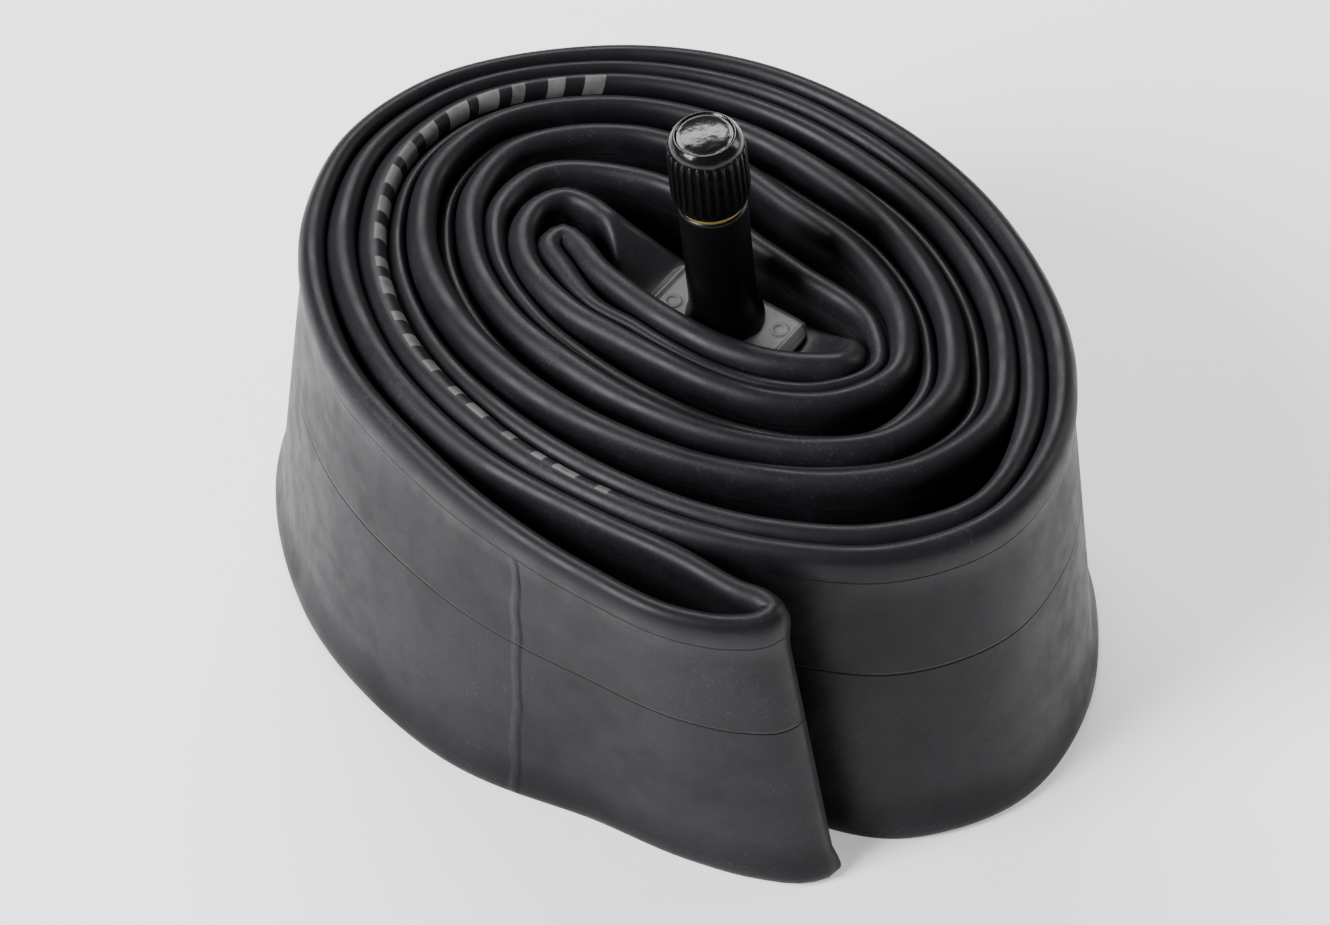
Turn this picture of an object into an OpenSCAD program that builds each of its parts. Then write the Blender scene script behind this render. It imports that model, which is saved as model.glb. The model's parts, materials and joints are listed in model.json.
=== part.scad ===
// Bicycle inner tube, pressed flat and rolled up as a double strand, with its valve in the middle.
// The origin is on the surface that the roll stands on, under the middle of the roll's outline.

/* [Tube] */
// Length of the tube round its valve side
tube_length = 1755; // [1755:1:2110]
// Width of the tube when it lies flat
flat_width = 48; // [40:0.5:60]
// Thickness of the rubber wall
tube_wall = 0.8; // [0.6:0.02:0.96]
// How much wider the roll is at its foot than at its top
foot_spread = 0.14; // [0:0.01:0.16]
// How far the outer fold leans along the roll at its foot
fold_lean = 7; // [0:0.5:8]
// Width of the flat seat under the valve
seat_width = 10; // [8:0.5:10.5]
// How far the seat lies below the top edge of the roll
seat_drop = 6; // [4:0.5:8]
// Diameter of the air hole from the valve into the tube
air_hole_d = 3; // [2:0.1:4]

/* [Valve patch] */
// Length of the patch along the tube
patch_length = 19; // [16:0.5:20]
// Width of the patch across the tube
patch_width = 9.6; // [9:0.1:10]
// Thickness of the patch
patch_thick = 1.2; // [0.8:0.1:2]

/* [Valve stem] */
// Lean of the valve to the left, in degrees
valve_lean = 5; // [0:0.5:8]
// Diameter of the rubber-covered stem
stem_d = 8.1; // [7.6:0.05:8.4]
// Diameter of the flared foot of the stem
stem_foot_d = 9.4; // [8.6:0.1:9.6]
// Height of the rubber-covered stem above the tube
stem_height = 20.7; // [14:0.1:40]
// Outer diameter of the valve thread
thread_d = 7.75; // [7:0.05:8]
// Pitch of the valve thread, 32 turns to the inch
thread_pitch = 0.79375; // [0.7:0.00005:0.9]
// Number of turns of the valve thread
thread_turns = 9; // [8:1:13]
// Height of the plain brass collar below the thread
collar_height = 1.4; // [1:0.1:2]
// Diameter of the bore that takes the valve core
core_bore_d = 5.3; // [5.2:0.01:5.4]
// Diameter of the narrow bore below the core's seal
air_bore_d = 4.2; // [4:0.05:4.4]

/* [Dust cap] */
// Thickness of the cap's roof over the sealing ring
cap_roof = 1.6; // [1.5:0.1:3]
// Largest diameter of the dust cap
cap_d = 9.4; // [9.4:0.1:12]
// Diameter of the smooth top of the cap
cap_top_d = 7.3; // [7:0.1:8.4]
// Gap between the mouth of the cap and the rubber stem
cap_gap = 0.7; // [0.5:0.1:2]
// Number of grip ribs round the cap
rib_count = 28; // [16:1:36]
// Radial gap between the thread and the bore of the cap
thread_gap = 0.1; // [0.05:0.01:0.2]
// Thickness of the sealing ring in the cap
seal_thick = 0.9; // [0.6:0.1:1.2]

/* [Valve core] */
// Pitch of the core thread, 36 turns to the inch
core_pitch = 0.70556; // [0.6:0.00001:0.8]
// Radial gap between the core thread and its bore
core_gap = 0.05; // [0.03:0.01:0.1]
// Depth of the core's top below the mouth of the valve
core_recess = 0.4; // [0.3:0.1:1]
// Diameter of the core's barrel
barrel_d = 3.4; // [3.2:0.05:3.6]
// Diameter of the pin
pin_d = 1.1; // [1:0.05:1.2]
// Travel of the pin when it is pressed
pin_travel = 1.2; // [0.8:0.1:1.3]
// Wire thickness of the core's spring
spring_wire = 0.25; // [0.2:0.01:0.28]
// Number of turns of the core's spring
spring_turns = 6; // [4:1:7]

/* [Hidden] */

// ---- the lay of the rolled tube -------------------------------------------------------------
// The tube lies as two strands side by side, an outer and an inner one. Each row below is one turn,
// and each pair is [azimuth, distance from the centre of the roll]. Both run inward from the outer fold.
outer_strand = [
  [270, 49.8], [255, 44.7], [240, 41.2], [225, 39.6], [195, 41.5], [165, 45.3], [150, 46.3],
  [135, 45.2], [105, 39.9], [75, 36.5], [45, 35.7], [15, 38.6], [-15, 45.3], [-30, 48.5],
  [-45, 49.7], [-60, 46.7], [-75, 41.5],
  [-105, 33.9], [-135, 31.7], [-165, 33.9], [-195, 37.9], [-210, 39.8], [-225, 39.8], [-255, 35],
  [-285, 30.6], [-315, 29.6], [-345, 32.7], [-375, 38.4], [-390, 40.8], [-405, 39], [-420, 34.7],
  [-435, 30.2],
  [-465, 25], [-495, 24.2], [-525, 27], [-555, 32.3], [-570, 34.6], [-585, 34.8], [-615, 30.2],
  [-645, 25.9], [-675, 24.2], [-705, 26.5], [-735, 32], [-750, 34.6], [-765, 33.7], [-780, 29.3],
  [-795, 24.9],
  [-825, 19.4], [-855, 18], [-885, 20.5], [-915, 25.8], [-930, 29], [-945, 30.2], [-975, 25.7],
  [-1005, 20.3], [-1035, 17.8], [-1065, 20.7], [-1095, 26.4], [-1108, 27.8], [-1125, 25],
  [-1140, 20.6], [-1155, 16.3],
  [-1185, 11.8], [-1215, 11.1], [-1245, 13.7], [-1275, 19.4]];
inner_strand = [
  [270, 41.6], [255, 37.2], [225, 35], [195, 37.1], [165, 41.9], [150, 43.6], [135, 42.7],
  [105, 37.4], [75, 33.5], [45, 32.4], [15, 35.2], [-15, 41.3], [-30, 44.9], [-45, 46.8],
  [-60, 43.2], [-75, 37.8],
  [-105, 30.5], [-135, 28.5], [-165, 30.4], [-195, 35], [-210, 37.1], [-225, 37.3], [-255, 32.6],
  [-285, 28.2], [-315, 26.9], [-345, 29.6], [-375, 35.1], [-390, 37.9], [-405, 36.4], [-420, 32],
  [-435, 27.6],
  [-465, 22.2], [-495, 21.3], [-525, 23.9], [-555, 28.9], [-570, 31.6], [-585, 32.4], [-615, 28.1],
  [-645, 23.2], [-675, 21.2], [-705, 23.9], [-735, 29.2], [-750, 31.8], [-765, 31.2], [-780, 26.6],
  [-795, 22.1],
  [-825, 16.7], [-855, 15.5], [-885, 17.8], [-915, 22.9], [-930, 25.4], [-945, 25.6], [-975, 18.5],
  [-1005, 13.5], [-1035, 11.4], [-1065, 13.6], [-1095, 22.8], [-1108, 25.3], [-1125, 22],
  [-1140, 17.2], [-1155, 13.1],
  [-1185, 9.2], [-1215, 8.5], [-1245, 11], [-1270, 14.3]];
// The stretches that join the strands, as plan points [x, y]
turn_to_seat = [[-18.8, 9.5], [-17, 12.8], [-14, 14.2], [-11.2, 13], [-8.2, 10]];
seat_stretch = [[-2.5, 4.4], [5, -1.3], [11.5, -5.6]];
turn_past_seat = [[16.8, -8.6], [19.2, -10.2], [18.4, -12]];
well_wall = [[15, -12.4], [11, -11.9], [6.1, -10.2], [0, -6.4], [-5.5, -1.8], [-9.9, 2.8], [-12.6, 6.9]];
turn_to_inner = [[-14.3, 8.3], [-15.8, 7]];
outer_fold = [[5.8, -45.6], [8.9, -47.2], [9.8, -48.5], [8.6, -49.9], [4.6, -50.6]];
drawn_length = 1755;
lay_scale = tube_length / drawn_length;
fold_tip = lay_scale * outer_fold[2];
fold_reach = 22;

function polar_point(p) = p[1] * [cos(p[0]), sin(p[0])];
function reversed(list) = [for (i = [len(list) - 1:-1:0]) list[i]];
route = lay_scale * concat(
  [for (p = outer_strand) polar_point(p)], turn_to_seat, seat_stretch, turn_past_seat, well_wall,
  turn_to_inner, [for (p = reversed(inner_strand)) polar_point(p)], outer_fold);
route_count = len(route);
valve_index = len(outer_strand) + len(turn_to_seat) + 1;

// A smooth closed curve through the route: cubic spans whose slopes allow for uneven spacing
function at(i) = route[(i + route_count) % route_count];
function span(i) = norm(at(i + 1) - at(i));
function slope(i) =
  let (before = span(i - 1), after = span(i))
  ((at(i) - at(i - 1)) / before * after + (at(i + 1) - at(i)) / after * before) / (before + after);
function curve(i, t) =
  (2 * t * t * t - 3 * t * t + 1) * at(i) + (t * t * t - 2 * t * t + t) * span(i) * slope(i)
  + (3 * t * t - 2 * t * t * t) * at(i + 1) + (t * t * t - t * t) * span(i) * slope(i + 1);
ring_spacing = 6;
seat_ring_spacing = 2;
function steps(i) =
  max(2, ceil(span(i) / (abs(i - valve_index) <= 3 ? seat_ring_spacing : ring_spacing)));
path = [for (i = [0:route_count - 1]) for (k = [0:steps(i) - 1]) curve(i, k / steps(i))];
path_count = len(path);
function path_at(i) = path[(i + path_count) % path_count];
function across(i) =
  let (along = path_at(i + 1) - path_at(i - 1))
  [-along[1], along[0]] / norm(along);

// ---- the section of the flat tube -----------------------------------------------------------
half_strap = tube_wall;
seat_middle = route[valve_index];
seat_z = flat_width - seat_drop;
// The seat stays flat a little past the patch, then rises over its run to the folded stretches
seat_margin = 1.5;
seat_run = 8;
edge_round = 0.4;
function smooth(t) = let (c = min(1, max(0, t))) c * c * (3 - 2 * c);
// 1 on the seat, fading to 0 where the tube is folded flat again; only the well's middle stretch opens
function on_seat(i) = i > seat_first && i < seat_last
  ? smooth(1 - (norm(path_at(i) - seat_middle) - patch_length / 2 - seat_margin) / seat_run) : 0;
function rings_before(i) = i <= 0 ? 0 : steps(i - 1) + rings_before(i - 1);
seat_first = rings_before(valve_index - 4);
seat_last = rings_before(valve_index + 4);
function half_top(i, inset) = half_strap + (seat_width / 2 - half_strap) * on_seat(i) - inset;
function top_z(i, inset) = flat_width - seat_drop * on_seat(i) - inset;
// The section's eight corners, as [distance from the middle, height]
function section(i, inset, foot) =
  let (wide = half_top(i, inset), high = top_z(i, inset), thin = max(0.1, half_strap - inset))
  [[wide - edge_round, high], [wide, high - edge_round], [thin, foot + edge_round],
   [thin - min(thin, edge_round) / 2, foot], [-thin + min(thin, edge_round) / 2, foot],
   [-thin, foot + edge_round], [-wide, high - edge_round], [-wide + edge_round, high]];
// The foot spreads all round, except beside the outer fold, which holds it in
held_azimuth = -98;
held_width = 24;
held_share = 1.2;
function spread_at(p) =
  let (turn = atan2(p[1], p[0]) - held_azimuth, off = turn - 360 * round(turn / 360))
  foot_spread * (1 - held_share * exp(-pow(off / held_width, 2)));
// A point of the section where it lies in the roll, before the roll is centred
function laid(i, p) =
  let (drop = 1 - p[1] / flat_width,
       near_fold = max(0, 1 - norm(path_at(i) - fold_tip) / fold_reach),
       plan_point = (path_at(i) + across(i) * p[0]) * (1 + spread_at(path_at(i)) * drop))
  [plan_point[0] + fold_lean * drop * near_fold * near_fold, plan_point[1], p[1]];
laid_ring = [for (i = [0:path_count - 1]) for (p = section(i, 0, 0)) laid(i, p)];
function middle(axis) = let (all = [for (p = laid_ring) p[axis]]) (min(all) + max(all)) / 2;
roll_middle = [middle(0), middle(1), 0];
function placed(i, p) = laid(i, p) - roll_middle;
seat_point = [seat_middle[0], seat_middle[1], seat_z] - roll_middle;

module swept_ring() {
  points = [for (p = laid_ring) p - roll_middle];
  faces = [for (i = [0:path_count - 1]) for (k = [0:7]) for (half = [0, 1])
    let (a = i * 8 + k, b = i * 8 + (k + 1) % 8,
         c = ((i + 1) % path_count) * 8 + (k + 1) % 8, d = ((i + 1) % path_count) * 8 + k)
    half == 0 ? [a, b, c] : [a, c, d]];
  polyhedron(points, faces, convexity = 12);
}

// The room inside the tube under the seat, where the walls stand apart
chamber_foot = 12;
module seat_chamber() {
  rings = [for (i = [seat_first:seat_last]) if (on_seat(i) > 0.5) i];
  count = len(rings);
  points = [for (i = rings) for (p = section(i, tube_wall, chamber_foot)) placed(i, p)];
  sides = [for (i = [0:count - 2]) for (k = [0:7]) for (half = [0, 1])
    let (a = i * 8 + k, b = i * 8 + (k + 1) % 8, c = (i + 1) * 8 + (k + 1) % 8, d = (i + 1) * 8 + k)
    half == 0 ? [a, b, c] : [a, c, d]];
  ends = [[for (k = [7:-1:0]) k], [for (k = [0:7]) (count - 1) * 8 + k]];
  polyhedron(points, concat(sides, ends), convexity = 4);
}

// The resize changes no size: it only keeps the cut ring as one mesh
module tube() {
  color("#303036")
    resize([0, 0, 0])
      difference() {
        swept_ring();
        seat_chamber();
        translate(seat_point - [0, 0, 2 * tube_wall])
          cylinder(d = air_hole_d, h = 3 * tube_wall, $fn = 24);
      }
}

// ---- the valve ------------------------------------------------------------------------------
// Everything on the valve's axis is drawn upright, with z = 0 on the seat, and leaned here
module on_valve() {
  translate(seat_point)
    rotate([0, -valve_lean, 0])
      children();
}

module turned(profile, sides = 64) {
  rotate_extrude($fn = sides)
    polygon(profile);
}

seat_turn = atan2(route[valve_index + 1][1] - route[valve_index - 1][1],
                  route[valve_index + 1][0] - route[valve_index - 1][0]);
// The stem's foot goes through a hole in the patch and stands on the tube
foot_plug_d = stem_d - 0.7;
foot_plug_gap = 0.1;
module valve_patch() {
  corner = 2.5;
  color("#6e6468")
    translate(seat_point)
      difference() {
        rotate([0, 0, seat_turn])
          linear_extrude(patch_thick)
            union() {
              square([patch_length, patch_width - 2 * corner], center = true);
              square([patch_length - 2 * corner, patch_width], center = true);
              for (end = [-1, 1])
                for (side = [-1, 1])
                  translate([end * (patch_length / 2 - corner), side * (patch_width / 2 - corner)])
                    circle(corner, $fn = 32);
            }
        translate([0, 0, -1])
          cylinder(d = foot_plug_d + 2 * foot_plug_gap, h = patch_thick + 2, $fn = 48);
      }
}

brass_d = stem_d - 2.3;
flange_d = stem_d - 1.5;
flange_z = 1;
flange_thick = 1;
foot_height = 2.8;
foot_edge = 0.5;
foot_swell = 0.25;
cut_size = 60;
module stem_rubber() {
  color("#141416")
    difference() {
      union() {
        on_valve()
          translate([0, 0, patch_thick])
            turned([[0, 0], [stem_foot_d / 2, 0], [stem_foot_d / 2, foot_edge],
                    [stem_d / 2 + foot_swell, foot_height / 2],
                    [stem_d / 2, foot_height], [stem_d / 2, stem_height - patch_thick],
                    [0, stem_height - patch_thick]]);
        translate(seat_point)
          cylinder(d = foot_plug_d, h = patch_thick + 1, $fn = 48);
      }
      // The leaned foot is cut level with the tube, and level with the patch outside the hole
      translate(seat_point - [cut_size / 2, cut_size / 2, cut_size])
        cube(cut_size);
      difference() {
        translate(seat_point - [cut_size / 2, cut_size / 2, 1])
          cube([cut_size, cut_size, patch_thick + 1]);
        translate(seat_point - [0, 0, 2])
          cylinder(d = foot_plug_d, h = patch_thick + 4, $fn = 48);
      }
      on_valve() {
        translate([0, 0, -1])
          cylinder(d = air_bore_d, h = 4, $fn = 48);
        translate([0, 0, flange_z])
          cylinder(d = flange_d, h = flange_thick, $fn = 48);
        translate([0, 0, flange_z])
          cylinder(d = brass_d, h = stem_height, $fn = 48);
      }
    }
}

thread_z = stem_height + collar_height;
mouth_z = thread_z + thread_turns * thread_pitch;
thread_depth = 0.5;
collar_d = thread_d - 0.15;
seat_cone_z = mouth_z - 7;
seat_cone_height = 0.9;
// Crest and root of one ring of a thread, as parts of its pitch
function ring(root, crest, z, pitch) =
  [[root, z], [crest, z + 0.4 * pitch], [crest, z + 0.55 * pitch], [root, z + 0.95 * pitch]];
// Brass: a flanged tube with a plain collar and a ringed thread, bored for the core
module valve_stem() {
  crest = thread_d / 2;
  root = crest - thread_depth;
  color("#c9a24a")
    on_valve()
      difference() {
        turned(concat(
          [[0, flange_z], [flange_d / 2, flange_z], [flange_d / 2, flange_z + flange_thick],
           [brass_d / 2, flange_z + flange_thick], [brass_d / 2, stem_height],
           [collar_d / 2, stem_height], [collar_d / 2, thread_z - 0.4], [root, thread_z - 0.2]],
          [for (n = [0:thread_turns - 1]) each ring(root, crest, thread_z + n * thread_pitch, thread_pitch)],
          [[0, mouth_z]]));
        cylinder(d = air_bore_d, h = mouth_z, $fn = 48);
        translate([0, 0, seat_cone_z])
          cylinder(d1 = air_bore_d, d2 = core_bore_d, h = seat_cone_height, $fn = 48);
        translate([0, 0, seat_cone_z + seat_cone_height])
          cylinder(d = core_bore_d, h = mouth_z - seat_cone_z, $fn = 48);
      }
}

// ---- the dust cap ---------------------------------------------------------------------------
cap_z = stem_height + cap_gap;
cap_height = mouth_z + seal_thick + cap_roof - cap_z;
cap_bore_d = thread_d + 2 * thread_gap;
roof_hollow_d = 6;
roof_thick = 1.2;
rib_depth = 0.3;
band_height = 1.5;
module cap_outline(inset) {
  cap_r = cap_d / 2 - inset;
  top_r = cap_top_d / 2;
  polygon([[0, 0], [cap_bore_d / 2 + 0.25, 0], [cap_r - 0.2, 0.9], [cap_r, 2.6],
           [cap_r - 0.15, cap_height - band_height], [top_r + 0.35, cap_height - 0.8],
           [top_r, cap_height - 0.3], [top_r - 0.5, cap_height - 0.3], [top_r - 0.9, cap_height - 0.35],
           [top_r * 0.5, cap_height - 0.08], [0, cap_height]]);
}

module dust_cap() {
  color("#18181a")
    on_valve()
      translate([0, 0, cap_z])
        difference() {
          union() {
            rotate_extrude($fn = 64)
              cap_outline(rib_depth);
            intersection() {
              rotate_extrude($fn = 64)
                cap_outline(0);
              for (n = [0:rib_count - 1])
                rotate([0, 0, n * 360 / rib_count])
                  translate([0, -0.25, 0.6])
                    cube([cap_d / 2, 0.5, cap_height - band_height - 0.4]);
            }
          }
          translate([0, 0, -1])
            cylinder(d = cap_bore_d, h = mouth_z + seal_thick - cap_z + 1, $fn = 48);
          cylinder(d = roof_hollow_d, h = cap_height - roof_thick, $fn = 48);
        }
}

// A rubber ring pinched between the mouth of the valve and the ledge inside the cap
module cap_seal() {
  color("#3a3a3c")
    on_valve()
      translate([0, 0, mouth_z])
        difference() {
          cylinder(d = cap_bore_d - 0.3, h = seal_thick, $fn = 48);
          translate([0, 0, -1])
            cylinder(d = roof_hollow_d, h = seal_thick + 2, $fn = 48);
        }
}

// ---- the valve core -------------------------------------------------------------------------
core_top_z = mouth_z - core_recess;
plug_height = 4.6;
plug_foot_z = core_top_z - plug_height;
neck_d = barrel_d - 1;
neck_height = 1.6;
pin_gap = 0.2;
// The flat tang on top of the plug that a core key turns
tang_d = 3.4;
tang_width = 2.2;
tang_height = 1.4;
module core_plug() {
  crest = core_bore_d / 2 - core_gap;
  root = crest - 0.35;
  flat_z = plug_height - tang_height;
  rings = floor((flat_z - 0.2) / core_pitch);
  color("#c8b878")
    on_valve()
      translate([0, 0, plug_foot_z])
        difference() {
          turned(concat(
            [[0, 0], [root, 0]],
            [for (n = [0:rings - 1]) each ring(root, crest, 0.1 + n * core_pitch, core_pitch)],
            [[root, flat_z], [tang_d / 2, flat_z], [tang_d / 2, plug_height], [0, plug_height]]), 48);
          translate([0, 0, -1])
            cylinder(d = pin_d + 2 * pin_gap, h = plug_height + 2, $fn = 32);
          translate([0, 0, -1])
            cylinder(d = neck_d + 0.2, h = neck_height + 1.2, $fn = 32);
          for (side = [-1, 1])
            translate([0, side * (tang_width / 2 + tang_d / 2), flat_z + tang_height])
              cube([2 * tang_d, tang_d, 2 * tang_height], center = true);
        }
}

barrel_foot_z = seat_cone_z - 7.1;
barrel_top_z = plug_foot_z - 0.1;
barrel_bore_d = barrel_d - 0.9;
spring_foot_z = barrel_foot_z + 0.8;
spring_slack = 1.3;
spring_top_z = spring_foot_z + spring_turns * spring_wire + pin_travel + spring_slack;
module core_barrel() {
  color("#c8b878")
    on_valve()
      difference() {
        union() {
          translate([0, 0, barrel_foot_z])
            cylinder(d = barrel_d, h = barrel_top_z - barrel_foot_z, $fn = 48);
          translate([0, 0, barrel_foot_z])
            cylinder(d = neck_d, h = barrel_top_z - barrel_foot_z + neck_height, $fn = 32);
        }
        translate([0, 0, spring_foot_z])
          cylinder(d = barrel_bore_d, h = spring_top_z - spring_foot_z + 0.8, $fn = 48);
        translate([0, 0, barrel_foot_z - 1])
          cylinder(d = pin_d + 2 * pin_gap, h = 20, $fn = 32);
      }
}

// A tapered sealing ring on the barrel, just clear of the cone in the stem
gasket_height = 1.4;
gasket_gap = 0.05;
module core_gasket() {
  low = air_bore_d / 2 - gasket_gap;
  high = core_bore_d / 2 - 2 * gasket_gap - core_gap;
  color("#8c2f2a")
    on_valve()
      translate([0, 0, seat_cone_z - 0.3])
        difference() {
          turned([[0, 0], [low - 0.1, 0], [low - 0.05, 0.3], [high - 0.1, 0.3 + seat_cone_height],
                  [high - 0.1, gasket_height], [0, gasket_height]], 48);
          translate([0, 0, -1])
            cylinder(d = barrel_d, h = gasket_height + 2, $fn = 48);
        }
}

pin_collar_d = barrel_bore_d - 0.3;
pin_collar_z = spring_top_z + 0.4;
module core_pin() {
  color("#b9bcc0")
    on_valve()
      turned([[0, cup_z], [pin_d / 2, cup_z], [pin_d / 2, spring_top_z], [pin_collar_d / 2, spring_top_z],
              [pin_collar_d / 2, pin_collar_z], [pin_d / 2, pin_collar_z],
              [pin_d / 2, core_top_z], [0, core_top_z]], 32);
}

cup_floor = 0.4;
cup_depth = 1.1;
washer_thick = 0.8;
cup_z = barrel_foot_z - washer_thick - cup_floor;
cup_d = barrel_d + 0.2;
washer_d = cup_d - 0.6;
module core_cup() {
  color("#b08d3c")
    on_valve()
      translate([0, 0, cup_z])
        difference() {
          cylinder(d = cup_d, h = cup_depth, $fn = 48);
          translate([0, 0, cup_floor])
            cylinder(d = washer_d, h = cup_depth, $fn = 48);
          translate([0, 0, -1])
            cylinder(d = pin_d, h = cup_depth + 1, $fn = 32);
        }
}

module core_washer() {
  color("#26262a")
    on_valve()
      translate([0, 0, cup_z + cup_floor])
        difference() {
          cylinder(d = washer_d, h = washer_thick, $fn = 48);
          translate([0, 0, -1])
            cylinder(d = pin_d, h = washer_thick + 2, $fn = 32);
        }
}

spring_d = barrel_bore_d - 0.4;
spring_end_gap = 0.02;
module core_spring() {
  per_turn = 16;
  sides = 6;
  count = spring_turns * per_turn;
  coil_r = spring_d / 2 - spring_wire / 2;
  rise = spring_top_z - spring_foot_z - spring_wire - 2 * spring_end_gap;
  points = [for (i = [0:count]) for (k = [0:sides - 1])
    let (a = i * 360 / per_turn, b = k * 360 / sides, r = coil_r + spring_wire / 2 * cos(b))
    [r * cos(a), r * sin(a), spring_wire / 2 + rise * i / count + spring_wire / 2 * sin(b)]];
  walls = [for (i = [0:count - 1]) for (k = [0:sides - 1]) for (half = [0, 1])
    let (a = i * sides + k, b = i * sides + (k + 1) % sides,
         c = (i + 1) * sides + (k + 1) % sides, d = (i + 1) * sides + k)
    half == 0 ? [a, b, c] : [a, c, d]];
  ends = [[for (k = [sides - 1:-1:0]) k], [for (k = [0:sides - 1]) count * sides + k]];
  color("#9a9ca0")
    on_valve()
      translate([0, 0, spring_foot_z + spring_end_gap])
        polyhedron(points, concat(walls, ends), convexity = 8);
}

tube();
valve_patch();
stem_rubber();
valve_stem();
dust_cap();
cap_seal();
core_plug();
core_barrel();
core_gasket();
core_pin();
core_spring();
core_cup();
core_washer();
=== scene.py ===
"""Rolled bicycle inner tube: looks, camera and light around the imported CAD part."""
import json
import math
import bpy
import numpy as np
from mathutils import Matrix, Vector


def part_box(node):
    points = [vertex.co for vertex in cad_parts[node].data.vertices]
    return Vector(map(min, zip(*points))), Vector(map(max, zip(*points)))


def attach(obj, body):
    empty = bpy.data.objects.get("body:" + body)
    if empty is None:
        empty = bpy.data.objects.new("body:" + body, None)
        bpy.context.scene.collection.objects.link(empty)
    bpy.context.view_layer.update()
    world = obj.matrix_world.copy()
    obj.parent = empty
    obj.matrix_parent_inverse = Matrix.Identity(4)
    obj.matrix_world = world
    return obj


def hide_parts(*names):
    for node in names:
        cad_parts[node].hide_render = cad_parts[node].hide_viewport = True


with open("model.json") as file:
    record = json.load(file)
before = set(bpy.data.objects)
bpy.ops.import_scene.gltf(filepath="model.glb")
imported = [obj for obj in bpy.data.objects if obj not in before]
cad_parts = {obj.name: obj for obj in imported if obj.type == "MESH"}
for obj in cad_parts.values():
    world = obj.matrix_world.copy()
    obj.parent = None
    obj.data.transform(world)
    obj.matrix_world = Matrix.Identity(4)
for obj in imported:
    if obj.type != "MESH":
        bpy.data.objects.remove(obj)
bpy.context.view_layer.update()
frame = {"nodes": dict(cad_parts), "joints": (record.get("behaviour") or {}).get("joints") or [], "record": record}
MM = 0.001
BODY_OF = {n: b for b, ns in frame["record"]["behaviour"]["bodies"].items() for n in ns}
JOINTS = {j["name"]: j for j in frame["joints"]}


# ---- the lay of the tube ---------------------------------------------------------------------
# [azimuth in degrees, distance from the centre in mm] of the two strands, from the outer fold inward
OUTER = [
    (270, 49.8), (255, 44.7), (240, 41.2), (225, 39.6), (195, 41.5), (165, 45.3), (150, 46.3),
    (135, 45.2), (105, 39.9), (75, 36.5), (45, 35.7), (15, 38.6), (-15, 45.3), (-30, 48.5),
    (-45, 49.7), (-60, 46.7), (-75, 41.5),
    (-105, 33.9), (-135, 31.7), (-165, 33.9), (-195, 37.9), (-210, 39.8), (-225, 39.8), (-255, 35),
    (-285, 30.6), (-315, 29.6), (-345, 32.7), (-375, 38.4), (-390, 40.8), (-405, 39), (-420, 34.7),
    (-435, 30.2),
    (-465, 25), (-495, 24.2), (-525, 27), (-555, 32.3), (-570, 34.6), (-585, 34.8), (-615, 30.2),
    (-645, 25.9), (-675, 24.2), (-705, 26.5), (-735, 32), (-750, 34.6), (-765, 33.7), (-780, 29.3),
    (-795, 24.9),
    (-825, 19.4), (-855, 18), (-885, 20.5), (-915, 25.8), (-930, 29), (-945, 30.2), (-975, 25.7),
    (-1005, 20.3), (-1035, 17.8), (-1065, 20.7), (-1095, 26.4), (-1108, 27.8), (-1125, 25),
    (-1140, 20.6), (-1155, 16.3),
    (-1185, 11.8), (-1215, 11.1), (-1245, 13.7), (-1275, 19.4)]
INNER = [
    (270, 41.6), (255, 37.2), (225, 35), (195, 37.1), (165, 41.9), (150, 43.6), (135, 42.7),
    (105, 37.4), (75, 33.5), (45, 32.4), (15, 35.2), (-15, 41.3), (-30, 44.9), (-45, 46.8),
    (-60, 43.2), (-75, 37.8),
    (-105, 30.5), (-135, 28.5), (-165, 30.4), (-195, 35), (-210, 37.1), (-225, 37.3), (-255, 32.6),
    (-285, 28.2), (-315, 26.9), (-345, 29.6), (-375, 35.1), (-390, 37.9), (-405, 36.4), (-420, 32),
    (-435, 27.6),
    (-465, 22.2), (-495, 21.3), (-525, 23.9), (-555, 28.9), (-570, 31.6), (-585, 32.4), (-615, 28.1),
    (-645, 23.2), (-675, 21.2), (-705, 23.9), (-735, 29.2), (-750, 31.8), (-765, 31.2), (-780, 26.6),
    (-795, 22.1),
    (-825, 16.7), (-855, 15.5), (-885, 17.8), (-915, 22.9), (-930, 25.4), (-945, 25.6), (-975, 18.5),
    (-1005, 13.5), (-1035, 11.4), (-1065, 13.6), (-1095, 22.8), (-1108, 25.3), (-1125, 22),
    (-1140, 17.2), (-1155, 13.1),
    (-1185, 9.2), (-1215, 8.5), (-1245, 11), (-1270, 14.3)]
TO_SEAT = [(-18.8, 9.5), (-17, 12.8), (-14, 14.2), (-11.2, 13), (-8.2, 10)]
SEAT = [(-2.5, 4.4), (5, -1.3), (11.5, -5.6)]
PAST_SEAT = [(16.8, -8.6), (19.2, -10.2), (18.4, -12)]
WELL_WALL = [(15, -12.4), (11, -11.9), (6.1, -10.2), (0, -6.4), (-5.5, -1.8), (-9.9, 2.8), (-12.6, 6.9)]
TO_INNER = [(-14.3, 8.3), (-15.8, 7)]
FOLD = [(5.8, -45.6), (8.9, -47.2), (9.8, -48.5), (8.6, -49.9), (4.6, -50.6)]
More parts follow.
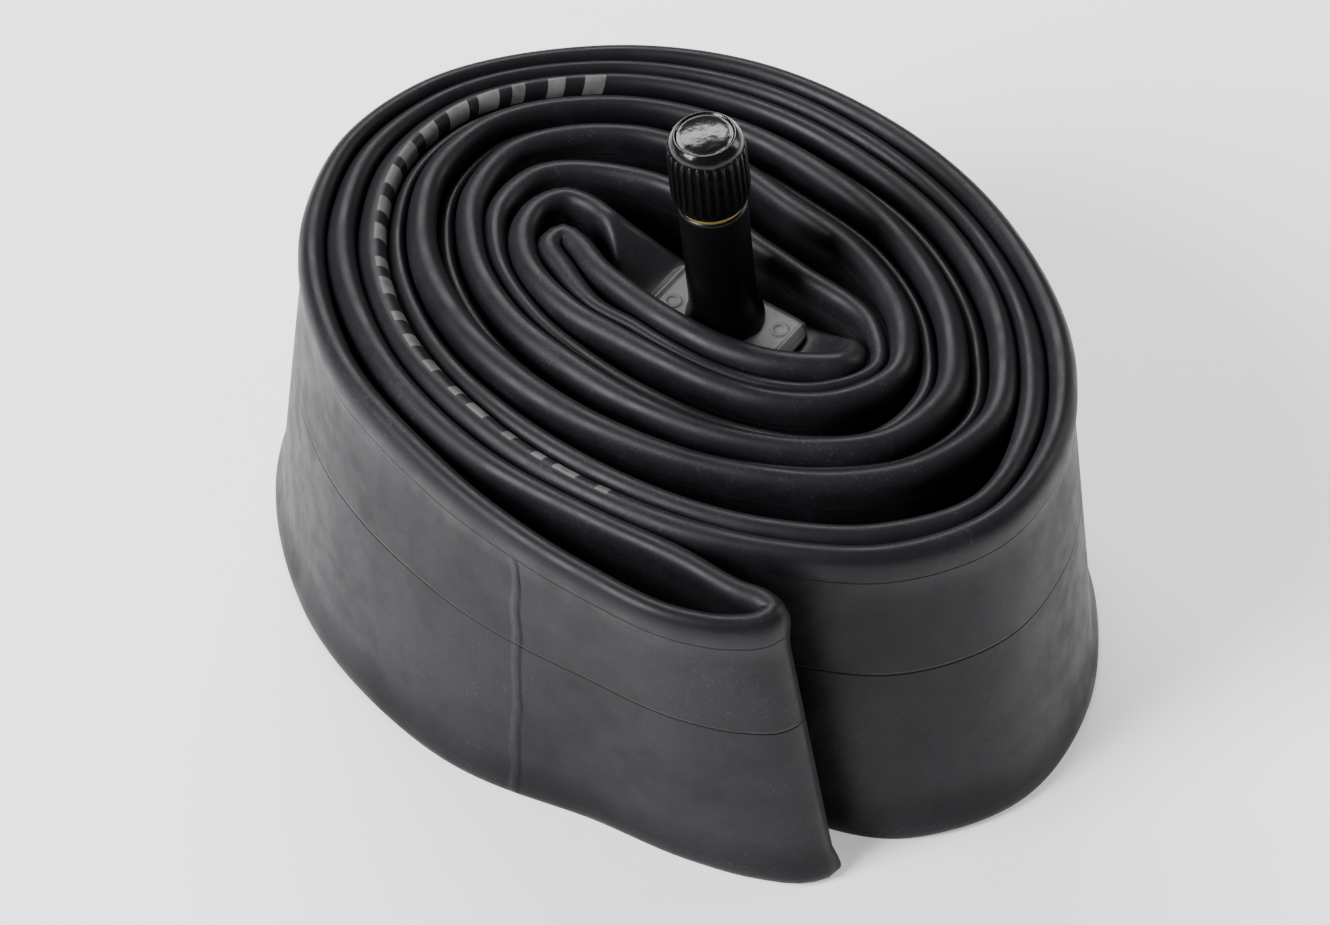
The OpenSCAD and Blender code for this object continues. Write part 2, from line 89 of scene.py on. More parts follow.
# How far each strand's top stands above or below the others, as (azimuth, mm)
OUTER_LIFT = [(-1275, 0), (-825, 0), (-795, 0.3), (-760, 0.6), (-690, 0.5), (-600, 0.8), (-560, 1.0),
              (-480, 0.9), (-450, 0.5), (-425, 0), (270, 0)]
INNER_LIFT = [(-1270, -0.3), (-1230, -0.8), (-1170, -1.2), (-1120, -1.2), (-1090, -1.4), (-1040, -1.0),
              (-960, -0.6), (-900, -0.9), (-860, -1.5), (-810, -1.5), (-780, -2.0), (-740, -1.8),
              (-690, -2.6), (-630, -2.8), (-590, -2.0), (-540, -2.0), (-500, -2.6), (-450, -2.8),
              (-430, -1.5), (-410, -1.8), (-390, -2.2), (-370, -1.6), (-330, -2.0), (-270, -2.6),
              (-230, -1.4), (-180, -1.0), (-120, -0.6), (-90, -0.3), (270, 0)]
FLAT = 48.0
SEAT_DROP = 6.0
# The foot spreads by this share all round, except near the azimuth where the outer fold holds it in
FOOT_SPREAD = 0.14
HELD_AZIMUTH, HELD_WIDTH, HELD_SHARE = -98.0, 24.0, 1.2
FOLD_LEAN = 7.0
WALL = 0.85
# Along the top edge each side swells into a bead: its half widths in mm, from the slimmest side to the
# fattest, and what a side keeps that has no neighbour within FREE_WAY
SLIM_SIDE, FAT_SIDE, FREE_SIDE = 0.9, 1.95, 1.45
CLOSE_WAY, FREE_WAY = 3.6, 5.2
# A tight bend leaves only a thin lip: a share of the bend's radius, and never less than the least
LIP_SHARE, LEAST_LIP = 0.45, 0.95
SIDE_GAP = 0.03
# The section away from the valve's seat, and on the seat, in mm
BEAD_TALL, SEAT_TALL = 1.9, 1.1
SEAT_CORNER, SEAT_HALF = 1.3, 5.1
NECK_DEPTH, SEAT_NECK = 7.0, 26.0
SEAT_FLAT, SEAT_FADE = 9.5, 9.0
FOOT_BEAD = 1.6
FOOT_NECK = (5.0, 3.2, 1.9)
FOLD_REACH = 22.0
# The top edge waves a little along the tube, as (height in mm, waves along the ring, phase)
EDGE_WAVES = ((0.12, 23, 1.3), (0.1, 41, 0.0))
# Depths of the wall's rings below the top edge, and the other two counts that set how fine the tube is
WALL_DEPTHS = (2.7, 3.6, 4.6, 5.8, 7.2, 9.5, 13, 18, 24, 30, 36, 40)
RING_SPACING = 1.15
CORNER_STEPS = 7


def plan_of(strand):
    """A strand's points as X and Y in mm."""
    a = np.radians([p[0] for p in strand])
    r = np.array([p[1] for p in strand])
    return np.stack([r * np.cos(a), r * np.sin(a)], 1)


def lift_of(strand, table):
    """How far the top stands up at each of a strand's points, read from its table."""
    return np.interp([p[0] for p in strand], [t[0] for t in table], [t[1] for t in table])


def lay_route(spacing):
    """Smooth closed centre line in mm: its points, their lift, the way along, and their route index."""
    middle = TO_SEAT + SEAT + PAST_SEAT + WELL_WALL + TO_INNER
    route = np.concatenate([plan_of(OUTER), np.array(middle), plan_of(INNER)[::-1], np.array(FOLD)])
    lift = np.concatenate([lift_of(OUTER, OUTER_LIFT), np.zeros(len(middle)),
                           lift_of(INNER, INNER_LIFT)[::-1], np.zeros(len(FOLD))])
    span = np.linalg.norm(np.roll(route, -1, 0) - route, axis=1)
    before = np.roll(span, 1)[:, None]
    after = span[:, None]
    slope = ((route - np.roll(route, 1, 0)) / before * after
             + (np.roll(route, -1, 0) - route) / after * before) / (before + after)
    plan, tops, index = [], [], []
    for i in range(len(route)):
        j = (i + 1) % len(route)
        count = max(2, math.ceil(span[i] / spacing))
        for k in range(count):
            t = k / count
            plan.append((2 * t**3 - 3 * t * t + 1) * route[i]
                        + (t**3 - 2 * t * t + t) * span[i] * slope[i]
                        + (3 * t * t - 2 * t**3) * route[j]
                        + (t**3 - t * t) * span[i] * slope[j])
            s = t * t * (3 - 2 * t)
            tops.append(lift[i] * (1 - s) + lift[j] * s)
            index.append(i + t)
    plan = np.array(plan)
    step = np.linalg.norm(np.roll(plan, -1, 0) - plan, axis=1)
    along = np.concatenate([[0], np.cumsum(step)[:-1]])
    return plan, np.array(tops), along, np.array(index)


def softened(values, reach):
    """A closed list of values, averaged over its neighbours."""
    kernel = np.exp(-0.5 * (np.arange(-3 * reach, 3 * reach + 1) / reach) ** 2)
    padded = np.concatenate([values[-3 * reach:], values, values[:3 * reach]])
    return np.convolve(padded, kernel / kernel.sum(), "valid")


def side_room(plan, normal, tangent, tops):
    """Bead width on each side: half the way to the next strand, the higher strand being the fatter."""
    count = len(plan)
    apart = plan[None] - plan[:, None]
    out = np.einsum("ijk,ik->ij", apart, normal)
    on = np.abs(np.einsum("ijk,ik->ij", apart, tangent))
    ring = np.abs(np.arange(count)[None] - np.arange(count)[:, None])
    near = (on < 0.9) & (np.minimum(ring, count - ring) > 4)
    turn = np.linalg.norm(np.roll(tangent, -2, 0) - np.roll(tangent, 2, 0), axis=1)
    run = np.linalg.norm(np.roll(plan, -2, 0) - np.roll(plan, 2, 0), axis=1)
    bend = softened(run / np.maximum(turn, 1e-4), 2)
    lip = np.clip(LIP_SHARE * bend, LEAST_LIP, FAT_SIDE)
    rooms = []
    for sign in (1, -1):
        way = np.where(near & (out * sign > 0.6), out * sign, 99.0)
        other = way.argmin(1)
        share = np.clip(0.5 + 0.07 * (tops - tops[other]), 0.36, 0.64)
        most = np.interp(way.min(1), (CLOSE_WAY, FREE_WAY), (FAT_SIDE, FREE_SIDE))
        most += 0.12 * np.clip(tops, 0, 1)
        room = np.clip(way.min(1) * share - SIDE_GAP, SLIM_SIDE, np.minimum(most, lip))
        rooms.append(softened(room, 3))
    return rooms


def tube_grid():
    """Rings of section points all round the tube in mm, their UV, and the way along and route index."""
    plan, tops, along, index = lay_route(RING_SPACING)
    count = len(plan)
    tops = softened(tops, 4)
    tangent = np.roll(plan, -1, 0) - np.roll(plan, 1, 0)
    tangent /= np.linalg.norm(tangent, axis=1)[:, None]
    normal = np.stack([-tangent[:, 1], tangent[:, 0]], 1)
    left, right = side_room(plan, normal, tangent, tops)
    seat_at = np.array(SEAT[1])
    first, last = len(OUTER) + len(TO_SEAT) - 3, len(OUTER) + len(TO_SEAT) + 5
    far = np.linalg.norm(plan - seat_at, axis=1)
    fade = np.clip(1 - (far - SEAT_FLAT) / SEAT_FADE, 0, 1)
    seat = np.where((index > first) & (index < last), fade * fade * (3 - 2 * fade), 0)
    way_round = along * 2 * math.pi / along[-1]
    for height, waves, phase in EDGE_WAVES:
        tops = tops + height * np.sin(way_round * waves + phase)
    tops = np.where(seat > 0, 0, tops)
    top = FLAT + tops - SEAT_DROP * seat
    sides_down = []
    # one side of the section, from the middle of the top edge down to the middle of the foot
    angles = np.linspace(0, math.pi / 2, CORNER_STEPS)
    for side, room in ((1, left), (-1, right)):
        bead = room * (1 - seat) + SEAT_HALF * seat
        corner = np.minimum(bead, FAT_SIDE) * (1 - seat) + SEAT_CORNER * seat
        tall = BEAD_TALL * (1 - seat) + SEAT_TALL * seat
        points = []
        for a in angles:
            points.append((bead - corner + corner * math.sin(a), tall * (1 - math.cos(a))))
        neck = NECK_DEPTH * (1 - seat) + SEAT_NECK * seat
        for h in WALL_DEPTHS:
            t = np.clip((h - tall) / (neck - tall), 0, 1)
            s = (t * t * (3 - 2 * t)) * (1 - seat) + t * seat
            points.append((bead * (1 - s) + WALL * s, np.maximum(h, tall)))
        foot_bead = np.minimum(room, FOOT_BEAD)
        for h in FOOT_NECK:
            s = (5.6 - h) / 3.7
            points.append((WALL + (foot_bead - WALL) * s * s * (3 - 2 * s), top - h))
        for a in angles[1:]:
            points.append((foot_bead * math.cos(a), top - FOOT_BEAD * (1 - math.sin(a))))
        sides_down.append([(side * u, h) for u, h in points])
    down = sides_down[0]
    up = sides_down[1][::-1][1:-1]
    section = down + up
    grid = np.zeros((count, len(section), 3))
    uv = np.zeros((count, len(section), 2))
    tip = np.array(FOLD[2])
    near_fold = np.clip(1 - np.linalg.norm(plan - tip, axis=1) / FOLD_REACH, 0, 1) ** 2
    off = (np.degrees(np.arctan2(plan[:, 1], plan[:, 0])) - HELD_AZIMUTH + 180) % 360 - 180
    spread_here = FOOT_SPREAD * (1 - HELD_SHARE * np.exp(-(off / HELD_WIDTH) ** 2))
    for k, (u, h) in enumerate(section):
        z = np.clip(top - h, 0, None)
        drop = 1 - np.clip(z / FLAT, 0, 1.05)
        spread = 1 + spread_here * drop
        place = (plan + normal * np.broadcast_to(u, (count,))[:, None]) * spread[:, None]
        grid[:, k, 0] = place[:, 0] + FOLD_LEAN * drop * near_fold
        grid[:, k, 1] = place[:, 1]
        grid[:, k, 2] = z
        uv[:, k, 0] = along / 100
        uv[:, k, 1] = (h if k < len(down) else -h) / FLAT
    return grid, uv, along, index


def smoothed(mesh):
    mesh.polygons.foreach_set("use_smooth", [True] * len(mesh.polygons))
    mesh.update()
    return mesh


def ringed_mesh(name, grid, uv):
    """A smooth mesh closed both ways from a grid of rings; quads face outward."""
    count, sides = grid.shape[:2]
    i = np.arange(count)[:, None]
    k = np.arange(sides)[None]
    a = i * sides + k
    b = i * sides + (k + 1) % sides
    c = ((i + 1) % count) * sides + (k + 1) % sides
    d = ((i + 1) % count) * sides + k
    faces = np.stack([a, d, c, b], -1).reshape(-1, 4)
    mesh = bpy.data.meshes.new(name)
    mesh.from_pydata(grid.reshape(-1, 3).tolist(), [], faces.tolist())
    layer = mesh.uv_layers.new(name="lay")
    # each quad's corners: this ring and the next one, at this section point and at the one below it
    here_u, here_v = uv[:, :, 0], uv[:, :, 1]
    next_u = np.roll(here_u, -1, 0).copy()
    next_u[-1] = here_u[-1] + (here_u[-1] - here_u[-2])
    next_v = np.roll(here_v, -1, 0)
    below_u, below_v = np.roll(here_u, -1, 1), np.roll(here_v, -1, 1).copy()
    across_u, across_v = np.roll(next_u, -1, 1), np.roll(next_v, -1, 1).copy()
    # V changes sign at the foot, so the quad there keeps to one side of it
    foot = int(np.argmax(here_v[0]))
    below_v[:, foot] = here_v[:, foot] + 0.01
    across_v[:, foot] = next_v[:, foot] + 0.01
    corners = np.stack([np.stack([here_u, here_v], -1), np.stack([next_u, next_v], -1),
                        np.stack([across_u, across_v], -1), np.stack([below_u, below_v], -1)], 2)
    layer.data.foreach_set("uv", corners.reshape(-1).astype(np.float32))
    return smoothed(mesh)


def add(mesh, body, material, stands_for=()):
    """Puts a piece in the scene on its body, and in place of its CAD nodes."""
    obj = bpy.data.objects.new(mesh.name, mesh)
    bpy.context.scene.collection.objects.link(obj)
    mesh.materials.append(material)
    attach(obj, body)
    if stands_for:
        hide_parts(*stands_for)


def revolved(name, profile, place, sides=96):
    """Closed turned solid from [radius, height] in mm, first and last radius 0, put in place."""
    verts = [(0, 0, profile[0][1] * MM)]
    inner = profile[1:-1]
    for r, z in inner:
        for s in range(sides):
            t = 2 * math.pi * s / sides
            verts.append((r * MM * math.cos(t), r * MM * math.sin(t), z * MM))
    verts.append((0, 0, profile[-1][1] * MM))
    faces = []
    for s in range(sides):
        n = (s + 1) % sides
        faces.append((0, 1 + n, 1 + s))
        for k in range(len(inner) - 1):
            a, b = 1 + k * sides, 1 + (k + 1) * sides
            faces.append((a + s, a + n, b + n, b + s))
        last = 1 + (len(inner) - 1) * sides
        faces.append((last + s, last + n, len(verts) - 1))
    mesh = bpy.data.meshes.new(name)
    mesh.from_pydata([tuple(place @ Vector(v)) for v in verts], [], faces)
    return smoothed(mesh)


def ring_turned(name, profile, place, sides=96):
    """Closed ring turned from a loop of [radius, height] in mm, up the outside and down the bore."""
    verts, faces = [], []
    for s in range(sides):
        t = 2 * math.pi * s / sides
        for r, z in profile:
            verts.append((r * MM * math.cos(t), r * MM * math.sin(t), z * MM))
    count = len(profile)
    for s in range(sides):
        here, there = s * count, ((s + 1) % sides) * count
        for k in range(count):
            n = (k + 1) % count
            faces.append((here + k, there + k, there + n, here + n))
    mesh = bpy.data.meshes.new(name)
    mesh.from_pydata([tuple(place @ Vector(v)) for v in verts], [], faces)
    return smoothed(mesh)


# ---- materials -------------------------------------------------------------------------------
def node_material(name):
    """A new material, with its node tree and its shader."""
    material = bpy.data.materials.new(name)
    material.use_nodes = True
    tree = material.node_tree
    return material, tree, tree.nodes["Principled BSDF"]


def plain(name, colour, rough, metal=0.0, specular=0.5):
    material, _, shader = node_material(name)
    shader.inputs["Base Color"].default_value = (*colour, 1)
    shader.inputs["Roughness"].default_value = rough
    shader.inputs["Metallic"].default_value = metal
    shader.inputs["Specular IOR Level"].default_value = specular
    return material


class Wires:
    """Short hand for linking shader nodes."""

    def __init__(self, tree):
        self.tree = tree

    def node(self, kind, **settings):
        made = self.tree.nodes.new(kind)
        for key, value in settings.items():
            setattr(made, key, value)
        return made

    def link(self, a, b):
        self.tree.links.new(a, b)

    def math(self, operation, a, b=None, clamp=False):
        made = self.node("ShaderNodeMath", operation=operation, use_clamp=clamp)
        for slot, value in enumerate((a, b)):
            if value is None:
                continue
            if isinstance(value, (int, float)):
                made.inputs[slot].default_value = value
            else:
                self.link(value, made.inputs[slot])
        return made.outputs[0]

    def noise(self, where, scale, detail=3.0, rough=0.5):
        made = self.node("ShaderNodeTexNoise")
        made.inputs["Scale"].default_value = scale
        made.inputs["Detail"].default_value = detail
        made.inputs["Roughness"].default_value = rough
        self.link(where, made.inputs["Vector"])
        return made.outputs["Fac"]

    def ramp(self, value, low, high, low_value=0.0, high_value=1.0):
        made = self.node("ShaderNodeMapRange", interpolation_type="SMOOTHSTEP")
        made.inputs["From Min"].default_value = low
        made.inputs["From Max"].default_value = high
        made.inputs["To Min"].default_value = low_value
        made.inputs["To Max"].default_value = high_value
        self.link(value, made.inputs["Value"])
        return made.outputs[0]

    def mix(self, factor, a, b):
        made = self.node("ShaderNodeMix", data_type="RGBA")
        self.link(factor, made.inputs[0])
        for slot, value in ((6, a), (7, b)):
            if isinstance(value, tuple):
                made.inputs[slot].default_value = (*value, 1)
            else:
                self.link(value, made.inputs[slot])
        return made.outputs[2]

    def bump(self, height, strength, distance, shader):
        """Roughens a shader's surface by a height, with its distance in mm."""
        made = self.node("ShaderNodeBump")
        made.inputs["Strength"].default_value = strength
        made.inputs["Distance"].default_value = distance * MM
        self.link(height, made.inputs["Height"])
        self.link(made.outputs[0], shader.inputs["Normal"])


BARE_RUBBER = (0.0035, 0.0033, 0.0045)
DUSTY_RUBBER = (0.014, 0.013, 0.0165)
# painted highlight: the lighter tone that the top edge of each strand is lifted towards
PAINTED_CREST_HIGHLIGHT = (0.013, 0.0125, 0.015)
TALC_CRUMB = (0.07, 0.07, 0.078)
GROOVE_BLACK = (0.003, 0.003, 0.0035)
INK_GREY = (0.11, 0.105, 0.105)
# Moulding lines along the tube, as (depth below the top edge, half width) in mm
MOULDING_LINES = ((4.0, 0.2), (19.5, 0.28))
# Ink dashes run down to INK_DEPTH on the right-hand side of the strand, one in each INK_PITCH
INK_DEPTH, INK_PITCH, INK_SLANT = 2.1, 4.6, 0.25
INK_LEAST, INK_MORE = 0.3, 0.4


def tube_rubber(seam_at, ink_start, ink_end):
    """Talc-dusted rubber with moulding lines, a splice seam and a row of plain ink dashes."""
    material, tree, shader = node_material("talc_rubber")
    w = Wires(tree)
    place = w.node("ShaderNodeTexCoord").outputs["Object"]
    uv = w.node("ShaderNodeSeparateXYZ")
    lay = w.node("ShaderNodeUVMap", uv_map="lay")
    w.link(lay.outputs[0], uv.inputs[0])
    along = w.math("MULTIPLY", uv.outputs["X"], 100.0)
    signed = w.math("MULTIPLY", uv.outputs["Y"], FLAT)
    depth = w.math("ABSOLUTE", signed)
    cloud = w.noise(place, 45.0, 5.0, 0.62)
    mottle = w.noise(place, 240.0, 4.0, 0.6)
    grain = w.noise(place, 2600.0, 2.0, 0.6)
    talc = w.math("MULTIPLY", w.ramp(cloud, 0.38, 0.7), w.ramp(mottle, 0.3, 0.75, 0.45, 1.0))
    painted_highlight_band = w.ramp(depth, 0.3, 3.4, 1.0, 0.0)
    bare = w.mix(talc, BARE_RUBBER, DUSTY_RUBBER)
    # painted highlight: along the top edge the rubber is toned halfway towards the lighter crest colour
    crest_highlit = w.mix(w.math("MULTIPLY", painted_highlight_band, 0.5), bare, PAINTED_CREST_HIGHLIGHT)
    crumbs = w.ramp(grain, 0.58, 0.72, 0.0, 0.45)
    dusty = w.mix(w.math("MULTIPLY", crumbs, talc), crest_highlit, TALC_CRUMB)
    # the moulding lines wander a little up and down
    wander = w.math("MULTIPLY", w.math("SUBTRACT", w.noise(place, 30.0, 2.0), 0.5), 1.2)
    line_depth = w.math("ADD", depth, wander)
    groove = None
    for at, width in MOULDING_LINES:
        off = w.math("ABSOLUTE", w.math("SUBTRACT", line_depth, at))
        one = w.ramp(off, 0.0, width, 1.0, 0.0)
        groove = one if groove is None else w.math("MAXIMUM", groove, one)
    coloured = w.mix(w.math("MULTIPLY", groove, 0.75), dusty, GROOVE_BLACK)
    # the splice across the tube
    bend = w.math("MULTIPLY", w.math("SUBTRACT", w.noise(place, 70.0, 2.0), 0.5), 2.4)
    off = w.math("ABSOLUTE", w.math("ADD", w.math("SUBTRACT", along, seam_at), bend))
    seam = w.math("MULTIPLY", w.ramp(off, 0.15, 0.8, 1.0, 0.0), w.ramp(depth, 3.0, 6.0))
    # ink dashes: one in each cell along the tube, each filled by its own share and slanted a little
    slanted = w.math("ADD", along, w.math("MULTIPLY", depth, INK_SLANT))
    cell = w.math("DIVIDE", slanted, INK_PITCH)
    chance = w.node("ShaderNodeTexWhiteNoise", noise_dimensions="1D")
    w.link(w.math("FLOOR", cell), chance.inputs["W"])
    filled = w.math("ADD", w.math("MULTIPLY", chance.outputs["Value"], INK_MORE), INK_LEAST)
    dash = w.math("LESS_THAN", w.math("FRACT", cell), filled)
    past_start = w.math("GREATER_THAN", along, ink_start)
    before_end = w.math("LESS_THAN", along, ink_end)
    on_side = w.math("LESS_THAN", signed, 0.0)
    above_foot = w.math("LESS_THAN", depth, INK_DEPTH)
    in_row = w.math("MULTIPLY", past_start, before_end)
    in_band = w.math("MULTIPLY", on_side, above_foot)
    ink = w.math("MULTIPLY", w.math("MULTIPLY", dash, in_row), in_band)
    worn_ink = w.math("MULTIPLY", ink, w.ramp(mottle, 0.25, 0.6, 0.35, 0.95))
    w.link(w.mix(worn_ink, coloured, INK_GREY), shader.inputs["Base Color"])
    w.link(w.ramp(mottle, 0.3, 0.7, 0.38, 0.5), shader.inputs["Roughness"])
    shader.inputs["Specular IOR Level"].default_value = 0.15
    heights = w.math("ADD", w.math("MULTIPLY", seam, 0.9), w.math("MULTIPLY", groove, -0.45))
    swell = w.noise(place, 22.0, 2.0, 0.4)
    heights = w.math("ADD", heights, w.math("MULTIPLY", swell, 1.6))
    heights = w.math("ADD", heights, w.math("MULTIPLY", grain, 0.035))
    w.bump(heights, 0.8, 0.4, shader)
    return material


def patch_rubber():
    """Matte, slightly brown rubber with a fine mottle."""
    material, tree, shader = node_material("patch_rubber")
    w = Wires(tree)
    place = w.node("ShaderNodeTexCoord").outputs["Object"]
    mottle = w.noise(place, 400.0, 4.0, 0.6)
    shade = w.mix(w.ramp(mottle, 0.3, 0.7), (0.030, 0.027, 0.030), (0.052, 0.046, 0.050))
    w.link(shade, shader.inputs["Base Color"])
    shader.inputs["Roughness"].default_value = 0.5
    shader.inputs["Specular IOR Level"].default_value = 0.4
    w.bump(mottle, 0.3, 0.1, shader)
    return material


stem_black = plain("stem_black", (0.0018, 0.0018, 0.0022), 0.28, specular=0.22)
cap_black = plain("cap_black", (0.0022, 0.0022, 0.0022), 0.34, specular=0.2)
brass = plain("brass", (0.86, 0.62, 0.22), 0.42, metal=1.0)
core_brass = plain("core_brass", (0.78, 0.64, 0.34), 0.3, metal=1.0)
steel = plain("steel", (0.62, 0.63, 0.65), 0.3, metal=1.0)
seal_grey = plain("seal_grey", (0.05, 0.05, 0.05), 0.6)
gasket_red = plain("gasket_red", (0.30, 0.06, 0.05), 0.55)
SLOT_MATERIALS = {
    "stem_rubber": stem_black, "stem_brass": brass, "cap_plastic": cap_black, "seal_rubber": seal_grey,
    "core_brass": core_brass, "gasket_rubber": gasket_red, "pin_steel": steel, "spring_steel": steel}


def glossy_cap():
    """Black plastic with the slightly wrinkled gloss of a moulded dome."""
    material, tree, shader = node_material("cap_gloss")
    w = Wires(tree)
    place = w.node("ShaderNodeTexCoord").outputs["Object"]
    shader.inputs["Base Color"].default_value = (0.0022, 0.0022, 0.0022, 1)
    shader.inputs["Roughness"].default_value = 0.2
    shader.inputs["Specular IOR Level"].default_value = 0.32
    w.bump(w.noise(place, 620.0, 2.0, 0.45), 0.45, 0.25, shader)
    return material


# ---- the tube --------------------------------------------------------------------------------
grid, uv, along, index = tube_grid()
low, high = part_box("tube")
own_low, own_high = grid.reshape(-1, 3).min(0), grid.reshape(-1, 3).max(0)
shift = [(low[k] + high[k]) / 2 / MM - (own_low[k] + own_high[k]) / 2 for k in (0, 1)]
grid[:, :, 0] += shift[0]
grid[:, :, 1] += shift[1]


def along_of(route_index):
    """Way along the tube in mm to a place in the route, counted in route points."""
    return float(np.interp(route_index, index, along))


ink_start, ink_end = (along_of(OUTER.index(p)) for p in ((-105, 33.9), (-255, 35)))
SEAM_ROUTE_INDEX = 1.75
rubber = tube_rubber(along_of(SEAM_ROUTE_INDEX), ink_start, ink_end)
add(ringed_mesh("rolled_tube", grid * MM, uv), BODY_OF["tube"], rubber, ("tube",))

# ---- the valve -------------------------------------------------------------------------------
axis = Vector(JOINTS["cap_lift"]["axis"]).normalized()
on_axis = Vector(JOINTS["cap_turn"]["pos_m"])
seat_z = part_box("valve_patch")[0].z
foot = on_axis + axis * ((seat_z - on_axis.z) / axis.z)
VALVE = Matrix.Translation(foot) @ axis.to_track_quat("Z", "Y").to_matrix().to_4x4()
# heights on the valve's axis: the rubber's shoulder, and the cap from its mouth to its dome
STEM_TOP, CAP_FOOT, CAP_TALL = 20.7, 21.4, 10.34

# the stem's rubber: flared foot, plain side, rounded shoulder, then the bore and the flange's recess
stem_profile = [(2.1, 0.6), (4.75, 0.6), (4.74, 1.5), (4.66, 1.9), (4.45, 2.5), (4.25, 3.2), (4.12, 4.0),
                (4.05, 5.0), (4.05, STEM_TOP - 0.5), (4.0, STEM_TOP - 0.22), (3.86, STEM_TOP - 0.06),
                (3.7, STEM_TOP), (2.93, STEM_TOP), (2.93, 2.03), (3.33, 2.03), (3.33, 0.97), (2.1, 0.97)]
stem_mesh = ring_turned("stem_cover", stem_profile, VALVE)
add(stem_mesh, BODY_OF["stem_rubber"], stem_black, ("stem_rubber",))

# the cap: a smooth shell, and ribs laid round it by geometry nodes
cap_profile = ([(0, 8.9), (3.0, 8.9), (3.95, 8.85), (3.95, 0.15), (4.03, 0.0), (4.18, 0.06), (4.3, 0.4),
                (4.4, 1.0), (4.42, 2.4), (4.38, 5.0)]
               + [(r, CAP_TALL - below) for r, below in (
                   (4.32, 1.75), (4.3, 1.45), (4.22, 1.15), (4.04, 0.8), (3.82, 0.52), (3.68, 0.34),
                   (3.58, 0.24), (3.46, 0.22), (3.36, 0.29), (3.3, 0.42), (3.15, 0.44), (2.8, 0.33),
                   (2.1, 0.17), (1.1, 0.05), (0, 0))])
CAP_PLACE = VALVE @ Matrix.Translation((0, 0, CAP_FOOT * MM))
CAP_SIDES, RIB_COUNT = 128, 28
shell_mesh = revolved("cap_shell", cap_profile, CAP_PLACE, CAP_SIDES)
add(shell_mesh, BODY_OF["dust_cap"], glossy_cap(), ("dust_cap",))


def rib_mesh():
    """One rounded rib beside the cap's axis, with its foot at the cap's mouth."""
    # height above the mouth, and the rib's back and front from the axis, in mm
    outline = [(0.7, 4.2, 4.34), (1.2, 4.25, 4.55), (2.4, 4.3, 4.67), (5.0, 4.26, 4.62), (7.4, 4.2, 4.56),
               (8.2, 4.18, 4.48), (8.7, 4.14, 4.3)]
    round_off = 0.12
    verts, faces = [], []
    for z, back, front in outline:
        side = front - round_off
        level = [(back, -0.26), (side, -0.24), (front, -0.12), (front, 0.12), (side, 0.24), (back, 0.26)]
        verts += [(x * MM, y * MM, z * MM) for x, y in level]
    count = len(level)
    for k in range(len(outline) - 1):
        for s in range(count):
            a, b = k * count + s, k * count + (s + 1) % count
            faces.append((a, b, b + count, a + count))
    faces.append(tuple(range(count - 1, -1, -1)))
    last = (len(outline) - 1) * count
    faces.append(tuple(last + s for s in range(count)))
    mesh = bpy.data.meshes.new("rib")
    mesh.from_pydata(verts, [], faces)
    return smoothed(mesh)


def ring_tree(material):
    """Copies an object round the Z axis a number of times."""
    tree = bpy.data.node_groups.new("ribs_round_cap", "GeometryNodeTree")
    face = tree.interface
    face.new_socket("Geometry", in_out="INPUT", socket_type="NodeSocketGeometry")
    face.new_socket("Rib", in_out="INPUT", socket_type="NodeSocketObject")
    face.new_socket("Count", in_out="INPUT", socket_type="NodeSocketInt")
    face.new_socket("Geometry", in_out="OUTPUT", socket_type="NodeSocketGeometry")
    put = tree.nodes.new
    entry, out = put("NodeGroupInput"), put("NodeGroupOutput")
    points = put("GeometryNodePoints")
    info = put("GeometryNodeObjectInfo")
    copies = put("GeometryNodeInstanceOnPoints")
    index_node = put("GeometryNodeInputIndex")
    step = put("ShaderNodeMath")
    step.operation = "DIVIDE"
    step.inputs[0].default_value = 2 * math.pi
    angle = put("ShaderNodeMath")
    angle.operation = "MULTIPLY"
    turn = put("ShaderNodeCombineXYZ")
    real = put("GeometryNodeRealizeInstances")
    paint = put("GeometryNodeSetMaterial")
    paint.inputs["Material"].default_value = material
    link = tree.links.new
    link(entry.outputs["Count"], points.inputs["Count"])
    link(entry.outputs["Rib"], info.inputs["Object"])
    link(info.outputs["Geometry"], copies.inputs["Instance"])
    link(points.outputs[0], copies.inputs["Points"])
    link(entry.outputs["Count"], step.inputs[1])
    link(index_node.outputs[0], angle.inputs[0])
    link(step.outputs[0], angle.inputs[1])
    link(angle.outputs[0], turn.inputs["Z"])
    link(turn.outputs[0], copies.inputs["Rotation"])
    link(copies.outputs[0], real.inputs[0])
    link(real.outputs[0], paint.inputs["Geometry"])
    link(paint.outputs[0], out.inputs[0])
    return tree


def made_by_tree(name, tree, values, place):
    """Runs a tree once and gives back its plain mesh, put in place."""
    host = bpy.data.objects.new(name + "_host", bpy.data.meshes.new(name + "_host"))
    bpy.context.scene.collection.objects.link(host)
    modifier = host.modifiers.new("tree", "NODES")
    modifier.node_group = tree
    for item in tree.interface.items_tree:
        if item.item_type == "SOCKET" and item.in_out == "INPUT" and item.name in values:
            modifier[item.identifier] = values[item.name]
    bpy.context.view_layer.update()
    depsgraph = bpy.context.evaluated_depsgraph_get()
    mesh = bpy.data.meshes.new_from_object(host.evaluated_get(depsgraph), depsgraph=depsgraph)
    mesh.name = name
    mesh.transform(place)
    host.modifiers.clear()
    bpy.data.objects.remove(host)
    return mesh


rib = bpy.data.objects.new("one_rib", rib_mesh())
bpy.context.scene.collection.objects.link(rib)
rib_ring = made_by_tree("cap_ribs", ring_tree(cap_black), {"Rib": rib, "Count": RIB_COUNT}, CAP_PLACE)
bpy.data.objects.remove(rib)
rib_ring.materials.clear()
add(rib_ring, BODY_OF["dust_cap"], cap_black)


